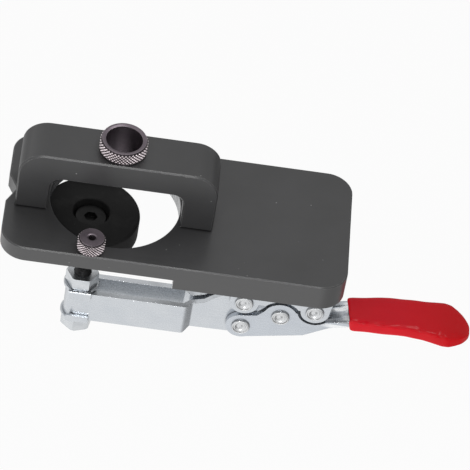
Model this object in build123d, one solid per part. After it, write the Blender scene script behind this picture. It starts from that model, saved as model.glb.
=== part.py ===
from build123d import *
import math
import os

# Hinge drilling jig: a plate with a bridge that carries a guide bush over a cup hole, two pilot
# bushes, and a toggle clamp beneath that presses a door against the plate.
# Millimetres. Origin: the cup hole's axis on the plate's underside. +X runs along the handle,
# +Y to the back, +Z up.

# Plate
CUP_HOLE_R = 22.25
PLATE_LEFT = 36.7
PLATE_RIGHT = 80.5
PILOT_EDGE = 3.95
PLATE_T = 6.0
FENCE_DROP = 4.0
FENCE_LAND = 0.25
PLATE_CORNER_R = 9.0
PLATE_EDGE = 0.4
NOTCH_HALF_WIDTH = 6.4
NOTCH_DEPTH = 3.2

# Bridge
BRIDGE_SETBACK = 0.25
BRIDGE_DEPTH = 17.0
BRIDGE_HEIGHT = 24.4
BRIDGE_BEAM_T = 10.0
BRIDGE_LEG = 11.1
BRIDGE_OUTER_R = 9.0
BRIDGE_INNER_R = 4.0
BRIDGE_EDGE = 0.5
BRIDGE_SCREW_R = 2.0
BRIDGE_SCREW_HEAD_R = 3.7
BRIDGE_SCREW_SPAN = 8.6
BRIDGE_SCREW_REACH = 12.0
BRIDGE_SCREW_SUNK = 0.2

# Bushes
GUIDE_COLLAR_R = 8.0
GUIDE_COLLAR_H = 5.0
GUIDE_BORE_R = 6.0
GUIDE_WALL = 1.2
GUIDE_CHAMFER = 0.9
PILOT_PITCH = 47.8
PILOT_SETBACK = 6.3
PILOT_COLLAR_R = 4.6
PILOT_COLLAR_H = 5.3
PILOT_SPIGOT_R = 2.1
PILOT_BORE_R = 1.2
PILOT_CHAMFER = 0.5
COLLAR_EDGE = 0.35

# Clearances
SEAT = 0.02
RUN = 0.05
SIDE_PLAY = 0.1

# Pressed sheets of the clamp
SHEET_T = 2.0
BAR_T = 2.1
CHANNEL_INNER_HALF = 3.2
BAR_REAR_HALF_GAP = 1.0

# Toggle pivots in the X-Z plane
PIVOT_DROP = 25.6
ARM_PIVOT_X = 49.1
ARM_JOINT_DX = 0.2
ARM_JOINT_DROP = 11.5
HANDLE_JOINT_DX = 13.0
HANDLE_JOINT_RISE = 7.0
LINK_JOINT_DX = 11.5
LINK_JOINT_RISE = 4.3

# Clamp brackets
EAR_R = 5.0
EAR_REAR_BULGE = 0.7
ARCH_GAP = 1.3
FLANGE_REACH = 17.0
FLANGE_BEND_R = 1.0
BRACKET_SCREW_Y = 11.4
BRACKET_SCREW_R = 2.5
BRACKET_HEAD_R = 4.3
BRACKET_HEAD_H = 3.4
BRACKET_SCREW_INSET = 4.9
BRACKET_THREAD_DEPTH = 7.0
THREAD_BOTTOM_GAP = 0.6

# Rivets
RIVET_R = 2.3
RIVET_HEAD_R = 3.15
RIVET_HEAD_H = 0.9
RIVET_DIMPLE_R = 2.0
RIVET_DIMPLE = 0.45

# Arm: one strip bent round the spindle and joggled in to its pivots
ARM_TOP_DROP = 31.6
ARM_DEPTH = 13.0
SPINDLE_SETBACK = 7.5
SLOT_HALF = 3.1
JOGGLE_X = 29.6
JOGGLE_RUN = 2.1
JOGGLE_OUTER_R = 2.5
JOGGLE_INNER_R = 0.8
ARM_REAR_LIFT = 1.9
ARM_STEP_RUN = 3.7
ARM_STEP_RISE = 1.2
ARM_SLOPE_RUN = 6.1
ARM_SLOPE_RISE = 3.3
ARM_LOBE_R = 5.3
ARM_PIVOT_LOBE_R = 4.8

# Handle and link
HANDLE_JOINT_LOBE_R = 5.3
LINK_JOINT_LOBE_R = 5.9
HANDLE_WEB_START = 1.8
HANDLE_BELLY_RUN = 21.8
HANDLE_BELLY_RISE = 4.8
HANDLE_CRANK_RUN = 30.3
HANDLE_CRANK_RISE = 10.1
HANDLE_NECK_RISE = 11.9
HANDLE_NECK_IN_GRIP = 1.0
HANDLE_SHOULDER_RUN = 5.0
HANDLE_SHOULDER_RISE = 11.5
HANDLE_EAR_GAP = 1.0
TONGUE_T = 2.6
TONGUE_END_HALF = 6.3
TONGUE_END_GAP = 5.0
LINK_EYE_R = 4.6

# Grip
GRIP_START = 85.5
GRIP_LENGTH = 43.0
GRIP_WALL = 1.15
GRIP_NECK_HALF = 5.9
GRIP_WAIST_HALF = 7.2
GRIP_END_HALF = 8.0
GRIP_NECK_T = 5.2
GRIP_WAIST_T = 5.2
GRIP_END_T = 5.8
GRIP_CREST = 1.75
GRIP_CAP = 6.2
GRIP_MOUTH_SLACK = 0.34

# Spindle
SPINDLE_R = 2.95
SPINDLE_END = 0.6
SPINDLE_HEAD_R = 5.6
SPINDLE_HEAD_H = 3.0
SPINDLE_SOCKET_AF = 4.0
SPINDLE_SOCKET_DEPTH = 2.0
NUT_AF = 10.0
NUT_H = 5.0
LOWER_NUT_TURN = 20.0
SADDLE_T = 1.0
SADDLE_DISC_R = 6.1
SADDLE_LENGTH = 7.8
SADDLE_LIP = 2.4
PAD_R = 16.7
PAD_T = 9.0
PAD_GAP = 0.4
PAD_RECESS_R = 6.2
PAD_RECESS_DEPTH = 5.4
PAD_EDGE = 0.8
PAD_NUT_H = 3.0

# Places that follow from the sizes above
fence_x = CUP_HOLE_R + FENCE_LAND
plate_width = PILOT_PITCH + 2 * PILOT_EDGE
bridge_top = PLATE_T + BRIDGE_HEIGHT
bridge_soffit = bridge_top - BRIDGE_BEAM_T
bridge_opening_half = CUP_HOLE_R + BRIDGE_SETBACK
bridge_half_length = bridge_opening_half + BRIDGE_LEG
leg_x = bridge_opening_half + BRIDGE_LEG / 2
channel_outer = CHANNEL_INNER_HALF + SHEET_T
bar_rear_outer = CHANNEL_INNER_HALF - SIDE_PLAY
bar_rear_inner = bar_rear_outer - BAR_T
bar_outer = SLOT_HALF + BAR_T
arm_pivot = (ARM_PIVOT_X, -FENCE_DROP - PIVOT_DROP)
arm_joint = (arm_pivot[0] + ARM_JOINT_DX, arm_pivot[1] - ARM_JOINT_DROP)
handle_joint = (arm_joint[0] + HANDLE_JOINT_DX, arm_joint[1] + HANDLE_JOINT_RISE)
link_joint = (handle_joint[0] + LINK_JOINT_DX, handle_joint[1] + LINK_JOINT_RISE)
arm_top = -FENCE_DROP - ARM_TOP_DROP
arm_bottom = arm_top - ARM_DEPTH
spindle_x = -SPINDLE_SETBACK
upper_nut_z = arm_top + RUN + SADDLE_T
lower_nut_z = arm_bottom - RUN - SADDLE_T - NUT_H
pad_top = -PAD_GAP
bracket_left = arm_pivot[0] - EAR_R
bracket_right = link_joint[0] + EAR_R + EAR_REAR_BULGE


def side_sketch(shape):
    """Place a sketch of X-Z points on the upright plane through the clamp's middle."""
    return Plane.XZ * shape


def polygon(points):
    """Closed face through X-Z or X-Y points, in the sketch's own plane."""
    return make_face(Polyline(*points, close=True))


def plate_pair(sketch, inner, thickness):
    """Two equal sheets, front and back, that start at the given half gap."""
    front = extrude(Pos(0, -inner, 0) * side_sketch(sketch), amount=thickness)
    return front, mirror(front, about=Plane.XZ)


def cross_cylinder(centre, radius, half_length):
    """Cylinder along Y at an X-Z place."""
    return Pos(centre[0], 0, centre[1]) * Rot(90, 0, 0) * Cylinder(radius, 2 * half_length)


def rivet(centre, half_grip):
    """Rivet with two formed heads, each with a spun dimple."""
    body = cross_cylinder(centre, RIVET_R, half_grip)
    for side in (-1, 1):
        face = Pos(centre[0], side * half_grip, centre[1]) * Rot(-90 * side, 0, 0)
        head = face * Cylinder(RIVET_HEAD_R, RIVET_HEAD_H, align=(Align.CENTER, Align.CENTER, Align.MIN))
        head = fillet(head.edges().sort_by(Axis.Y)[-1 if side > 0 else 0], RIVET_HEAD_H * 0.5)
        top = face * Pos(0, 0, RIVET_HEAD_H)
        dimple = top * Cylinder(RIVET_DIMPLE_R, 2 * RIVET_DIMPLE)
        body += head - dimple
    return body


def base_plate():
    """Plate with the cup hole, the stepped fence beneath, the end notch and the screw holes."""
    outline = Pos((PLATE_RIGHT - PLATE_LEFT) / 2, 0) * RectangleRounded(
        PLATE_RIGHT + PLATE_LEFT, plate_width, PLATE_CORNER_R)
    body = extrude(outline, amount=PLATE_T)
    thick = extrude(Pos(0, 0, -FENCE_DROP) * outline, amount=FENCE_DROP)
    thick -= Box(2 * fence_x, plate_width * 2, 4 * FENCE_DROP) + Pos(-PLATE_LEFT, 0, 0) * Box(
        2 * PLATE_LEFT, plate_width * 2, 4 * FENCE_DROP)
    body += thick
    body -= Cylinder(CUP_HOLE_R, 4 * PLATE_T)
    notch = polygon([
        (-PLATE_LEFT - 1, -NOTCH_HALF_WIDTH - NOTCH_HALF_WIDTH / NOTCH_DEPTH),
        (-PLATE_LEFT + NOTCH_DEPTH, 0),
        (-PLATE_LEFT - 1, NOTCH_HALF_WIDTH + NOTCH_HALF_WIDTH / NOTCH_DEPTH),
    ])
    body -= extrude(notch, amount=PLATE_T * 2, both=True)
    top_edges = body.faces().sort_by(Axis.Z)[-1].outer_wire().edges()
    body = chamfer(top_edges, PLATE_EDGE)
    for side in (-1, 1):
        body -= Pos(-PILOT_SETBACK, side * PILOT_PITCH / 2, 0) * Cylinder(
            PILOT_SPIGOT_R + SEAT, 4 * PLATE_T)
    for x, y, low in bridge_screw_places():
        hole = Pos(x, y, low) * Cylinder(
            BRIDGE_SCREW_R + SEAT, 3 * PLATE_T, align=(Align.CENTER, Align.CENTER, Align.MIN))
        body -= hole + Pos(x, y, low) * screw_head_cone(SEAT)
    for x, y in bracket_screw_places():
        body -= Pos(x, y, -FENCE_DROP) * Cylinder(
            BRACKET_SCREW_R + SEAT, BRACKET_THREAD_DEPTH,
            align=(Align.CENTER, Align.CENTER, Align.MIN))
    return body


def bridge_screw_places():
    """X, Y and the underside height of each bridge screw."""
    return [(side * leg_x, end * BRIDGE_SCREW_SPAN / 2, -FENCE_DROP if side > 0 else 0.0)
            for side in (-1, 1) for end in (-1, 1)]


def bracket_screw_places():
    """X and Y of the four screws that hold the clamp to the plate."""
    return [(x, side * BRACKET_SCREW_Y)
            for x in (bracket_left + BRACKET_SCREW_INSET, bracket_right - BRACKET_SCREW_INSET)
            for side in (-1, 1)]


def screw_head_cone(gap):
    """Countersunk head that starts at the local origin and narrows upward to the shank."""
    rise = BRIDGE_SCREW_HEAD_R - BRIDGE_SCREW_R
    land = Cylinder(BRIDGE_SCREW_HEAD_R + gap, BRIDGE_SCREW_SUNK,
                    align=(Align.CENTER, Align.CENTER, Align.MIN))
    cone = Pos(0, 0, BRIDGE_SCREW_SUNK) * Cone(
        BRIDGE_SCREW_HEAD_R + gap, BRIDGE_SCREW_R + gap, rise,
        align=(Align.CENTER, Align.CENTER, Align.MIN))
    return land + cone


def bridge():
    """Arch over the cup hole, with rounded shoulders and the guide bush's seat."""
    height = BRIDGE_HEIGHT
    outer = polygon([
        (-bridge_half_length, PLATE_T), (bridge_half_length, PLATE_T),
        (bridge_half_length, PLATE_T + height), (-bridge_half_length, PLATE_T + height),
    ])
    outer = fillet(outer.vertices().group_by(Axis.Y)[-1], BRIDGE_OUTER_R)
    inner = polygon([
        (-bridge_opening_half, 0), (bridge_opening_half, 0),
        (bridge_opening_half, bridge_soffit), (-bridge_opening_half, bridge_soffit),
    ])
    inner = fillet(inner.vertices().group_by(Axis.Y)[-1], BRIDGE_INNER_R)
    body = extrude(side_sketch(outer), amount=BRIDGE_DEPTH / 2, both=True)
    body -= extrude(side_sketch(inner), amount=BRIDGE_DEPTH, both=True)
    rims = body.faces().sort_by(Axis.Y)
    body = chamfer(rims[0].edges() + rims[-1].edges(), BRIDGE_EDGE)
    body -= Pos(0, 0, bridge_top) * Cylinder(GUIDE_BORE_R + GUIDE_WALL + SEAT, 3 * BRIDGE_BEAM_T)
    for x, y, low in bridge_screw_places():
        body -= Pos(x, y, PLATE_T) * Cylinder(
            BRIDGE_SCREW_R + SEAT, BRIDGE_SCREW_REACH + THREAD_BOTTOM_GAP,
            align=(Align.CENTER, Align.CENTER, Align.MIN))
    return body


def bridge_screws():
    """Four countersunk screws that pull the bridge down on the plate from below."""
    screws = []
    for x, y, low in bridge_screw_places():
        length = PLATE_T + BRIDGE_SCREW_REACH - low
        screw = Pos(x, y, low) * (screw_head_cone(0) + Cylinder(
            BRIDGE_SCREW_R, length, align=(Align.CENTER, Align.CENTER, Align.MIN)))
        socket = Pos(x, y, low) * extrude(
            RegularPolygon(BRIDGE_SCREW_R * 0.72, 6), amount=BRIDGE_SCREW_R * 0.9)
        screws.append(screw - socket)
    return Compound(children=screws)


def collared_bush(collar_r, collar_h, spigot_r, spigot_h, bore_r, mouth):
    """Turned bush: a collar that seats at the local origin and a spigot below it."""
    body = Cylinder(collar_r, collar_h, align=(Align.CENTER, Align.CENTER, Align.MIN))
    body = chamfer(body.edges().sort_by(Axis.Z)[-1], COLLAR_EDGE)
    body += Cylinder(spigot_r, spigot_h, align=(Align.CENTER, Align.CENTER, Align.MAX))
    body -= Cylinder(bore_r, 4 * (collar_h + spigot_h))
    body -= Pos(0, 0, collar_h) * Cone(
        bore_r, bore_r + mouth, mouth, align=(Align.CENTER, Align.CENTER, Align.MAX))
    return body


def guide_bush():
    """Knurled guide bush that seats on the bridge over the cup hole's axis."""
    return Pos(0, 0, bridge_top) * collared_bush(
        GUIDE_COLLAR_R, GUIDE_COLLAR_H, GUIDE_BORE_R + GUIDE_WALL, BRIDGE_BEAM_T,
        GUIDE_BORE_R, GUIDE_CHAMFER)


def pilot_bush(side):
    """Small bush that guides the screw pilot drill, at the front or the back."""
    return Pos(-PILOT_SETBACK, side * PILOT_PITCH / 2, PLATE_T) * collared_bush(
        PILOT_COLLAR_R, PILOT_COLLAR_H, PILOT_SPIGOT_R, PLATE_T, PILOT_BORE_R, PILOT_CHAMFER)


def clamp_brackets():
    """Two pressed halves: flanges against the plate and ears for the two fixed pivots."""
    top = -FENCE_DROP
    blank = polygon([
        (bracket_left, top), (bracket_left, arm_pivot[1]),
        (link_joint[0] + EAR_R, link_joint[1]), (bracket_right, link_joint[1] + EAR_R),
        (bracket_right, top),
    ])
    blank += Pos(*arm_pivot) * Circle(EAR_R) + Pos(*link_joint) * Circle(EAR_R)
    blank -= Pos(*handle_joint) * Circle(LINK_JOINT_LOBE_R + ARCH_GAP)
    for centre in (arm_pivot, link_joint):
        blank -= Pos(*centre) * Circle(RIVET_R + SEAT)
    section = polygon([
        (CHANNEL_INNER_HALF, arm_pivot[1] - 2 * EAR_R), (channel_outer, arm_pivot[1] - 2 * EAR_R),
        (channel_outer, top - SHEET_T), (FLANGE_REACH, top - SHEET_T),
        (FLANGE_REACH, top), (CHANNEL_INNER_HALF, top),
    ])
    inside = section.vertices().sort_by_distance((channel_outer, top - SHEET_T))[0]
    section = fillet(inside, FLANGE_BEND_R)
    outside = section.vertices().sort_by_distance((CHANNEL_INNER_HALF, top))[0]
    section = fillet(outside, FLANGE_BEND_R + SHEET_T)
    length = bracket_right - bracket_left
    bent = Pos(bracket_left, 0, 0) * extrude(Plane.YZ * section, amount=length)
    back = bent & extrude(side_sketch(blank), amount=-2 * FLANGE_REACH)
    corners = back.edges().filter_by(Axis.Z).group_by(Axis.Y)[-1]
    back = fillet(corners, 2 * SHEET_T)
    for x, y in bracket_screw_places():
        back -= Pos(x, y, top) * Cylinder(BRACKET_SCREW_R + RUN, 4 * SHEET_T)
    return mirror(back, about=Plane.XZ), back


def bracket_screws():
    """Four button-head screws through the flanges into the plate's thick end."""
    screws = []
    for x, y in bracket_screw_places():
        head_z = -FENCE_DROP - SHEET_T
        head = Pos(x, y, head_z) * Cylinder(
            BRACKET_HEAD_R, BRACKET_HEAD_H, align=(Align.CENTER, Align.CENTER, Align.MAX))
        head = fillet(head.edges().sort_by(Axis.Z)[0], BRACKET_HEAD_H * 0.6)
        head -= Pos(x, y, head_z - BRACKET_HEAD_H) * extrude(
            RegularPolygon(BRACKET_SCREW_R * 0.69, 6), amount=BRACKET_HEAD_H * 0.6)
        shank = Pos(x, y, head_z) * Cylinder(
            BRACKET_SCREW_R, SHEET_T + BRACKET_THREAD_DEPTH - THREAD_BOTTOM_GAP,
            align=(Align.CENTER, Align.CENTER, Align.MIN))
        screws.append(head + shank)
    return Compound(children=screws)


def bend_corners(face, x, radius):
    """Round the two corners of a plan outline that lie at the given X."""
    corners = [corner for corner in face.vertices() if abs(corner.X - x) < 1e-6]
    return fillet(corners, radius)


def clamp_arm():
    """Strip folded into a hairpin round the spindle, joggled in and shaped to its two pivots."""
    rear = arm_joint[0] + 2 * ARM_LOBE_R
    start = JOGGLE_X + JOGGLE_RUN
    strip_out = polygon([
        (spindle_x, -bar_outer), (JOGGLE_X, -bar_outer), (start, -bar_rear_outer),
        (rear, -bar_rear_outer), (rear, bar_rear_outer), (start, bar_rear_outer),
        (JOGGLE_X, bar_outer), (spindle_x, bar_outer),
    ])
    inset = BAR_T * math.tan(math.atan2(bar_outer - bar_rear_outer, JOGGLE_RUN) / 2)
    strip_in = polygon([
        (spindle_x, -SLOT_HALF), (JOGGLE_X - inset, -SLOT_HALF), (start - inset, -bar_rear_inner),
        (2 * rear, -bar_rear_inner), (2 * rear, bar_rear_inner), (start - inset, bar_rear_inner),
        (JOGGLE_X - inset, SLOT_HALF), (spindle_x, SLOT_HALF),
    ])
    strip_out = bend_corners(strip_out, JOGGLE_X, JOGGLE_OUTER_R)
    strip_out = bend_corners(strip_out, start, JOGGLE_INNER_R)
    strip_in = bend_corners(strip_in, JOGGLE_X - inset, JOGGLE_INNER_R)
    strip_in = bend_corners(strip_in, start - inset, JOGGLE_OUTER_R)
    strip = strip_out + Pos(spindle_x, 0) * Circle(bar_outer)
    strip -= strip_in + Pos(spindle_x, 0) * Circle(SLOT_HALF)
    strip = Pos(0, 0, arm_bottom - ARM_DEPTH) * extrude(strip, amount=ARM_DEPTH * 3)
    low_rear = arm_bottom + ARM_REAR_LIFT
    top_lobe = (arm_pivot[0] - ARM_PIVOT_LOBE_R * 0.7, arm_pivot[1] + ARM_PIVOT_LOBE_R * 0.714)
    shape = polygon([
        (spindle_x - 2 * bar_outer, arm_bottom), (JOGGLE_X, arm_bottom),
        (start, low_rear), (arm_joint[0], arm_joint[1] - ARM_LOBE_R),
        (arm_joint[0] + ARM_LOBE_R, arm_joint[1]),
        (arm_pivot[0] + ARM_PIVOT_LOBE_R, arm_pivot[1]), arm_pivot, top_lobe,
        (start + ARM_SLOPE_RUN, arm_top + ARM_SLOPE_RISE),
        (start + ARM_STEP_RUN, arm_top + ARM_STEP_RISE), (start, arm_top),
        (spindle_x - 2 * bar_outer, arm_top),
    ])
    shape += Pos(*arm_joint) * Circle(ARM_LOBE_R)
    shape += Pos(*arm_pivot) * Circle(ARM_PIVOT_LOBE_R)
    shape -= Pos(*arm_pivot) * Circle(RIVET_R + RUN)
    shape -= Pos(*arm_joint) * Circle(RIVET_R + SEAT)
    return strip & extrude(side_sketch(shape), amount=2 * bar_outer, both=True)


def arm_joint_bush():
    """Short pin across the arm's two cheeks at its joint with the handle."""
    return cross_cylinder(arm_joint, RIVET_R, bar_rear_outer)


def handle_low():
    """Height of the lowest point of the handle's joint with the arm."""
    return arm_joint[1] - HANDLE_JOINT_LOBE_R


def handle_outline():
    """Side outline of the handle: two joint lobes, the cranked body and the neck."""
    neck = GRIP_START + HANDLE_NECK_IN_GRIP
    low = handle_low()
    body = polygon([
        (arm_joint[0], low), (arm_joint[0] + HANDLE_BELLY_RUN, low + HANDLE_BELLY_RISE),
        (arm_joint[0] + HANDLE_CRANK_RUN, low + HANDLE_CRANK_RISE), (neck, low + HANDLE_NECK_RISE),
        (neck, low + HANDLE_NECK_RISE + TONGUE_T),
        (arm_joint[0] + HANDLE_CRANK_RUN, low + HANDLE_CRANK_RISE + TONGUE_T),
        (link_joint[0], low + HANDLE_NECK_RISE),
        (handle_joint[0] + LINK_JOINT_LOBE_R * 0.87, handle_joint[1] + LINK_JOINT_LOBE_R * 0.5),
        handle_joint,
        (handle_joint[0] - LINK_JOINT_LOBE_R * 0.8, handle_joint[1] + LINK_JOINT_LOBE_R * 0.5),
        (arm_joint[0] + HANDLE_SHOULDER_RUN, low + HANDLE_SHOULDER_RISE),
        (arm_joint[0], arm_joint[1] + HANDLE_JOINT_LOBE_R), arm_joint,
    ])
    body += Pos(*arm_joint) * Circle(HANDLE_JOINT_LOBE_R)
    body += Pos(*handle_joint) * Circle(LINK_JOINT_LOBE_R)
    return body - Pos(*link_joint) * Circle(EAR_R + HANDLE_EAR_GAP)


def grip_stations():
    """Distance along the grip, half width, thickness and height of each of its sections."""
    crown = (GRIP_END_HALF, GRIP_END_T)
    middle = HANDLE_NECK_RISE + TONGUE_T / 2
    return [
        (0, GRIP_NECK_HALF, GRIP_NECK_T, middle),
        (GRIP_LENGTH * 0.25, GRIP_WAIST_HALF, GRIP_WAIST_T, middle + GRIP_CREST * 0.63),
        (GRIP_LENGTH * 0.5, GRIP_WAIST_HALF, GRIP_WAIST_T, middle + GRIP_CREST),
        (GRIP_LENGTH * 0.72, crown[0], crown[1], middle + GRIP_CREST * 0.69),
        (GRIP_LENGTH - GRIP_CAP, crown[0], crown[1], middle + GRIP_CREST * 0.34),
        (GRIP_LENGTH - GRIP_CAP * 0.29, crown[0] * 0.74, crown[1] * 0.76, middle),
        (GRIP_LENGTH, crown[0] * 0.36, crown[1] * 0.36, middle - GRIP_CREST * 0.17),
    ]


def grip_section(along, half, thick, rise, corner):
    """Rounded section of the grip or its tongue, across the handle's length."""
    place = Plane((GRIP_START + along, 0, handle_low() + rise), x_dir=(0, 1, 0), z_dir=(1, 0, 0))
    return place * RectangleRounded(2 * half, thick, thick * corner)


def tongue(gap):
    """Flat tongue that runs on inside the grip, larger all round by the gap."""
    first, *others = grip_stations()
    inside = [station for station in others if station[0] < GRIP_LENGTH - GRIP_CAP * 0.8]
    sections = [grip_section(first[0], channel_outer + gap, TONGUE_T + 2 * gap, first[3], 0.1)]
    for along, half, thick, rise in inside:
        half = min(TONGUE_END_HALF, half - GRIP_WALL) + gap
        sections.append(grip_section(along + gap, half, TONGUE_T + 2 * gap, rise, 0.1))
    return loft(sections, ruled=True)


def handle():
    """Channel that opens upward, with its web cleared round the two joints."""
    body = extrude(side_sketch(handle_outline()), amount=channel_outer, both=True)
    low = handle_low()
    web_start = handle_joint[0] + HANDLE_WEB_START
    belly_slope = HANDLE_BELLY_RISE / HANDLE_BELLY_RUN
    web_low = low + (web_start - arm_joint[0]) * belly_slope + SHEET_T
    above = link_joint[1] + 2 * EAR_R
    neck = GRIP_START + HANDLE_NECK_IN_GRIP
    inner = polygon([
        (arm_joint[0] - 2 * HANDLE_JOINT_LOBE_R, low - SHEET_T), (web_start, low - SHEET_T),
        (web_start, web_low),
        (arm_joint[0] + HANDLE_BELLY_RUN, low + HANDLE_BELLY_RISE + SHEET_T),
        (arm_joint[0] + HANDLE_CRANK_RUN, low + HANDLE_CRANK_RISE + SHEET_T),
        (neck, low + HANDLE_NECK_RISE + TONGUE_T), (neck, above),
        (arm_joint[0] - 2 * HANDLE_JOINT_LOBE_R, above),
    ])
    body -= extrude(side_sketch(inner), amount=CHANNEL_INNER_HALF, both=True)
    body += tongue(0)
    for centre in (arm_joint, handle_joint):
        body -= cross_cylinder(centre, RIVET_R + SEAT, 2 * channel_outer)
    return body


def grip():
    """Dipped grip: flat at its neck, a slight waist, and a fuller rounded end."""
    body = loft([grip_section(*station, 0.42) for station in grip_stations()])
    mouth_high = handle_low() + HANDLE_NECK_RISE + TONGUE_T + SEAT
    mouth = Pos(GRIP_START, 0, mouth_high) * Box(
        2 * (HANDLE_NECK_IN_GRIP + SEAT), 2 * (channel_outer + SEAT), TONGUE_T + GRIP_MOUTH_SLACK,
        align=(Align.CENTER, Align.CENTER, Align.MAX))
    return body - mouth - tongue(SEAT)


def link_plates():
    """Two short link plates between the brackets' rear pivot and the handle."""
    eyes = Pos(*handle_joint) * Circle(LINK_EYE_R) + Pos(*link_joint) * Circle(LINK_EYE_R)
    shape = make_hull(eyes.edges())
    for centre in (handle_joint, link_joint):
        shape -= Pos(*centre) * Circle(RIVET_R + RUN)
    return plate_pair(shape, bar_rear_inner, BAR_T)


def joint_rivets():
    """Headed stubs in the handle's cheeks at its joint with the arm, one each side."""
    stubs = []
    whole = rivet(arm_joint, channel_outer + SEAT)
    for side in (-1, 1):
        keep = Pos(arm_joint[0], side * (CHANNEL_INNER_HALF + SEAT), arm_joint[1]) * Box(
            4 * RIVET_HEAD_R, 4 * channel_outer, 4 * RIVET_HEAD_R,
            align=(Align.CENTER, Align.MIN if side > 0 else Align.MAX, Align.CENTER))
        stubs.append(whole & keep)
    return Compound(children=stubs)


def spindle_nut(base_z, turn):
    """Hexagon nut on the spindle."""
    blank = extrude(RegularPolygon(NUT_AF / 2, 6, major_radius=False, rotation=turn), amount=NUT_H)
    round_r = NUT_AF / 2 * 1.06
    crown = Cylinder(round_r * 1.1, NUT_H, align=(Align.CENTER, Align.CENTER, Align.MIN))
    crown = chamfer(crown.edges().filter_by(GeomType.CIRCLE), NUT_H * 0.11, round_r * 0.09)
    nut = (blank & crown) - Cylinder(SPINDLE_R + RUN, 4 * NUT_H)
    return Pos(spindle_x, 0, base_z) * nut


def saddle_washer(upper):
    """Round washer whose two lips fold over the arm's sides."""
    inner = bar_outer + RUN
    face_z = arm_top + RUN if upper else arm_bottom - RUN
    section = polygon([
        (-inner - SADDLE_T, -SADDLE_LIP), (-inner, -SADDLE_LIP), (-inner, 0), (inner, 0),
        (inner, -SADDLE_LIP), (inner + SADDLE_T, -SADDLE_LIP), (inner + SADDLE_T, SADDLE_T),
        (-inner - SADDLE_T, SADDLE_T),
    ])
    section = fillet(section.vertices().group_by(Axis.Y)[-1], SADDLE_T * 0.9)
    body = extrude(Plane.YZ * section, amount=SADDLE_LENGTH / 2, both=True)
    disc = Cylinder(SADDLE_DISC_R, SADDLE_T, align=(Align.CENTER, Align.CENTER, Align.MIN))
    body += fillet(disc.edges().sort_by(Axis.Z)[-1], SADDLE_T * 0.4)
    body -= Cylinder(SPINDLE_R + RUN, 8 * SADDLE_T)
    if not upper:
        body = mirror(body, about=Plane.XY)
    return Pos(spindle_x, 0, face_z) * body


def pad():
    """Rubber pad that presses the door up against the plate."""
    body = Cylinder(PAD_R, PAD_T, align=(Align.CENTER, Align.CENTER, Align.MAX))
    body = fillet(body.edges(), PAD_EDGE)
    body -= Cylinder(PAD_RECESS_R, 2 * PAD_RECESS_DEPTH)
    body -= Cylinder(SPINDLE_R + SEAT, 4 * PAD_T)
    return Pos(spindle_x, 0, pad_top) * body


def spindle_screw():
    """Long screw: a socket head in the pad's recess and a shank down through both nuts."""
    seat_z = pad_top - PAD_RECESS_DEPTH
    head = Pos(0, 0, seat_z) * Cylinder(
        SPINDLE_HEAD_R, SPINDLE_HEAD_H, align=(Align.CENTER, Align.CENTER, Align.MIN))
    head = chamfer(head.edges().sort_by(Axis.Z)[-1], 0.4)
    head -= Pos(0, 0, seat_z + SPINDLE_HEAD_H - SPINDLE_SOCKET_DEPTH) * extrude(
        RegularPolygon(SPINDLE_SOCKET_AF / 2, 6, major_radius=False), amount=SPINDLE_SOCKET_DEPTH)
    length = seat_z - lower_nut_z + SPINDLE_END
    shank = Pos(0, 0, seat_z) * Cylinder(
        SPINDLE_R, length, align=(Align.CENTER, Align.CENTER, Align.MAX))
    shank = chamfer(shank.edges().sort_by(Axis.Z)[0], 0.5)
    return Pos(spindle_x, 0, 0) * (head + shank)


def pad_nut():
    """Thin nut that holds the pad against the spindle's head."""
    nut = extrude(RegularPolygon(NUT_AF / 2, 6, major_radius=False), amount=-PAD_NUT_H)
    nut -= Cylinder(SPINDLE_R + SEAT, 4 * PAD_NUT_H)
    return Pos(spindle_x, 0, pad_top - PAD_T) * nut


bracket_front, bracket_back = clamp_brackets()
link_front, link_back = link_plates()

pieces = {
    "base_plate": base_plate(),
    "bridge": bridge(),
    "bridge_screws": bridge_screws(),
    "guide_bush": guide_bush(),
    "pilot_bush_front": pilot_bush(-1),
    "pilot_bush_back": pilot_bush(1),
    "clamp_bracket_front": bracket_front,
    "clamp_bracket_back": bracket_back,
    "bracket_screws": bracket_screws(),
    "arm_pivot_rivet": rivet(arm_pivot, channel_outer + SEAT),
    "link_pivot_rivet": rivet(link_joint, channel_outer + SEAT),
    "clamp_arm": clamp_arm(),
    "arm_joint_bush": arm_joint_bush(),
    "handle": handle(),
    "handle_rivet": rivet(handle_joint, channel_outer + SEAT),
    "arm_joint_rivets": joint_rivets(),
    "grip": grip(),
    "link_plate_front": link_front,
    "link_plate_back": link_back,
    "spindle_screw": spindle_screw(),
    "spindle_nut_upper": spindle_nut(upper_nut_z, 0.0),
    "spindle_nut_lower": spindle_nut(lower_nut_z, LOWER_NUT_TURN),
    "saddle_washer_upper": saddle_washer(True),
    "saddle_washer_lower": saddle_washer(False),
    "pad": pad(),
    "pad_nut": pad_nut(),
}

os.makedirs("parts", exist_ok=True)
for name, piece in pieces.items():
    export_step(piece, f"parts/{name}.step")
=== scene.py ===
"""Dresses the hinge drilling jig: knurled bushes, threaded spindle, zinc clamp and dipped grip."""
import logging
import math
from dataclasses import astuple, dataclass
from enum import Enum

import bmesh
import bpy
from mathutils import Matrix, Vector


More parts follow.
